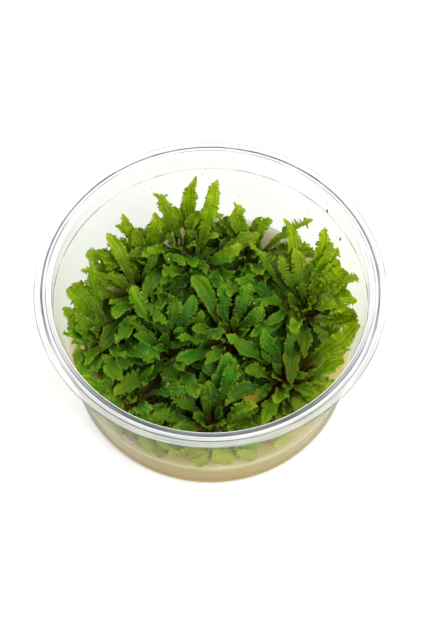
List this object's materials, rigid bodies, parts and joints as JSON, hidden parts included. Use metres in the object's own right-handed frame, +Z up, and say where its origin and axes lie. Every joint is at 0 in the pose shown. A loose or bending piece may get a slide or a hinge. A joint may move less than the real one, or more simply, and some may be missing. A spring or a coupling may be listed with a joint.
{
  "type": "cup of tissue culture aquarium plants",
  "caption": "Open clear round culture cup with a set gel layer, planted with rosettes of ruffled, crinkled strap leaves on short stems.",
  "frame": {"origin": "centre of the cup's flat base, on the surface it stands on", "axes": "+Z up through the open mouth; -Y towards the viewer of the picture; +X to the right in it"},
  "size_m": [0.1, 0.1, 0.0476],
  "materials": {
    "clear_polystyrene": "clear, thin, moulded, high gloss",
    "agar_gel": "moist cream gel, slightly translucent",
    "downoi_leaf": "fresh ruffled leaf, waxy sheen",
    "downoi_crown": "young leaves on a brown-red stem, waxy sheen"
  },
  "bodies": {
    "root": {"agar_gel": "agar_gel", "crown_back": "downoi_crown", "crown_back_left": "downoi_crown", "crown_back_mid": "downoi_crown", "crown_back_right": "downoi_crown", "crown_centre": "downoi_crown", "crown_centre_left": "downoi_crown", "crown_front": "downoi_crown", "crown_front_left": "downoi_crown", "crown_left": "downoi_crown", "crown_mid_left": "downoi_crown", "crown_right_back": "downoi_crown", "crown_right_front": "downoi_crown", "culture_cup": "clear_polystyrene", "leaf_back_1": "downoi_leaf", "leaf_back_2": "downoi_leaf", "leaf_back_3": "downoi_leaf", "leaf_back_left_1": "downoi_leaf", "leaf_back_left_2": "downoi_leaf", "leaf_back_left_3": "downoi_leaf", "leaf_back_left_4": "downoi_leaf", "leaf_back_mid_1": "downoi_leaf", "leaf_back_mid_2": "downoi_leaf", "leaf_back_mid_3": "downoi_leaf", "leaf_back_right_1": "downoi_leaf", "leaf_back_right_2": "downoi_leaf", "leaf_back_right_3": "downoi_leaf", "leaf_back_right_4": "downoi_leaf", "leaf_centre_1": "downoi_leaf", "leaf_centre_2": "downoi_leaf", "leaf_centre_3": "downoi_leaf", "leaf_centre_4": "downoi_leaf", "leaf_centre_left_1": "downoi_leaf", "leaf_centre_left_2": "downoi_leaf", "leaf_front_1": "downoi_leaf", "leaf_front_2": "downoi_leaf", "leaf_front_3": "downoi_leaf", "leaf_front_4": "downoi_leaf", "leaf_front_left_1": "downoi_leaf", "leaf_front_left_2": "downoi_leaf", "leaf_front_left_3": "downoi_leaf", "leaf_front_left_4": "downoi_leaf", "leaf_left_1": "downoi_leaf", "leaf_left_2": "downoi_leaf", "leaf_left_3": "downoi_leaf", "leaf_left_4": "downoi_leaf", "leaf_mid_left_1": "downoi_leaf", "leaf_mid_left_2": "downoi_leaf", "leaf_right_back_1": "downoi_leaf", "leaf_right_back_2": "downoi_leaf", "leaf_right_back_3": "downoi_leaf", "leaf_right_back_4": "downoi_leaf", "leaf_right_back_5": "downoi_leaf", "leaf_right_back_6": "downoi_leaf", "leaf_right_front_1": "downoi_leaf", "leaf_right_front_2": "downoi_leaf", "leaf_right_front_3": "downoi_leaf", "leaf_right_front_4": "downoi_leaf", "leaf_right_front_5": "downoi_leaf", "leaf_right_front_6": "downoi_leaf"}
  },
  "joints": []
}
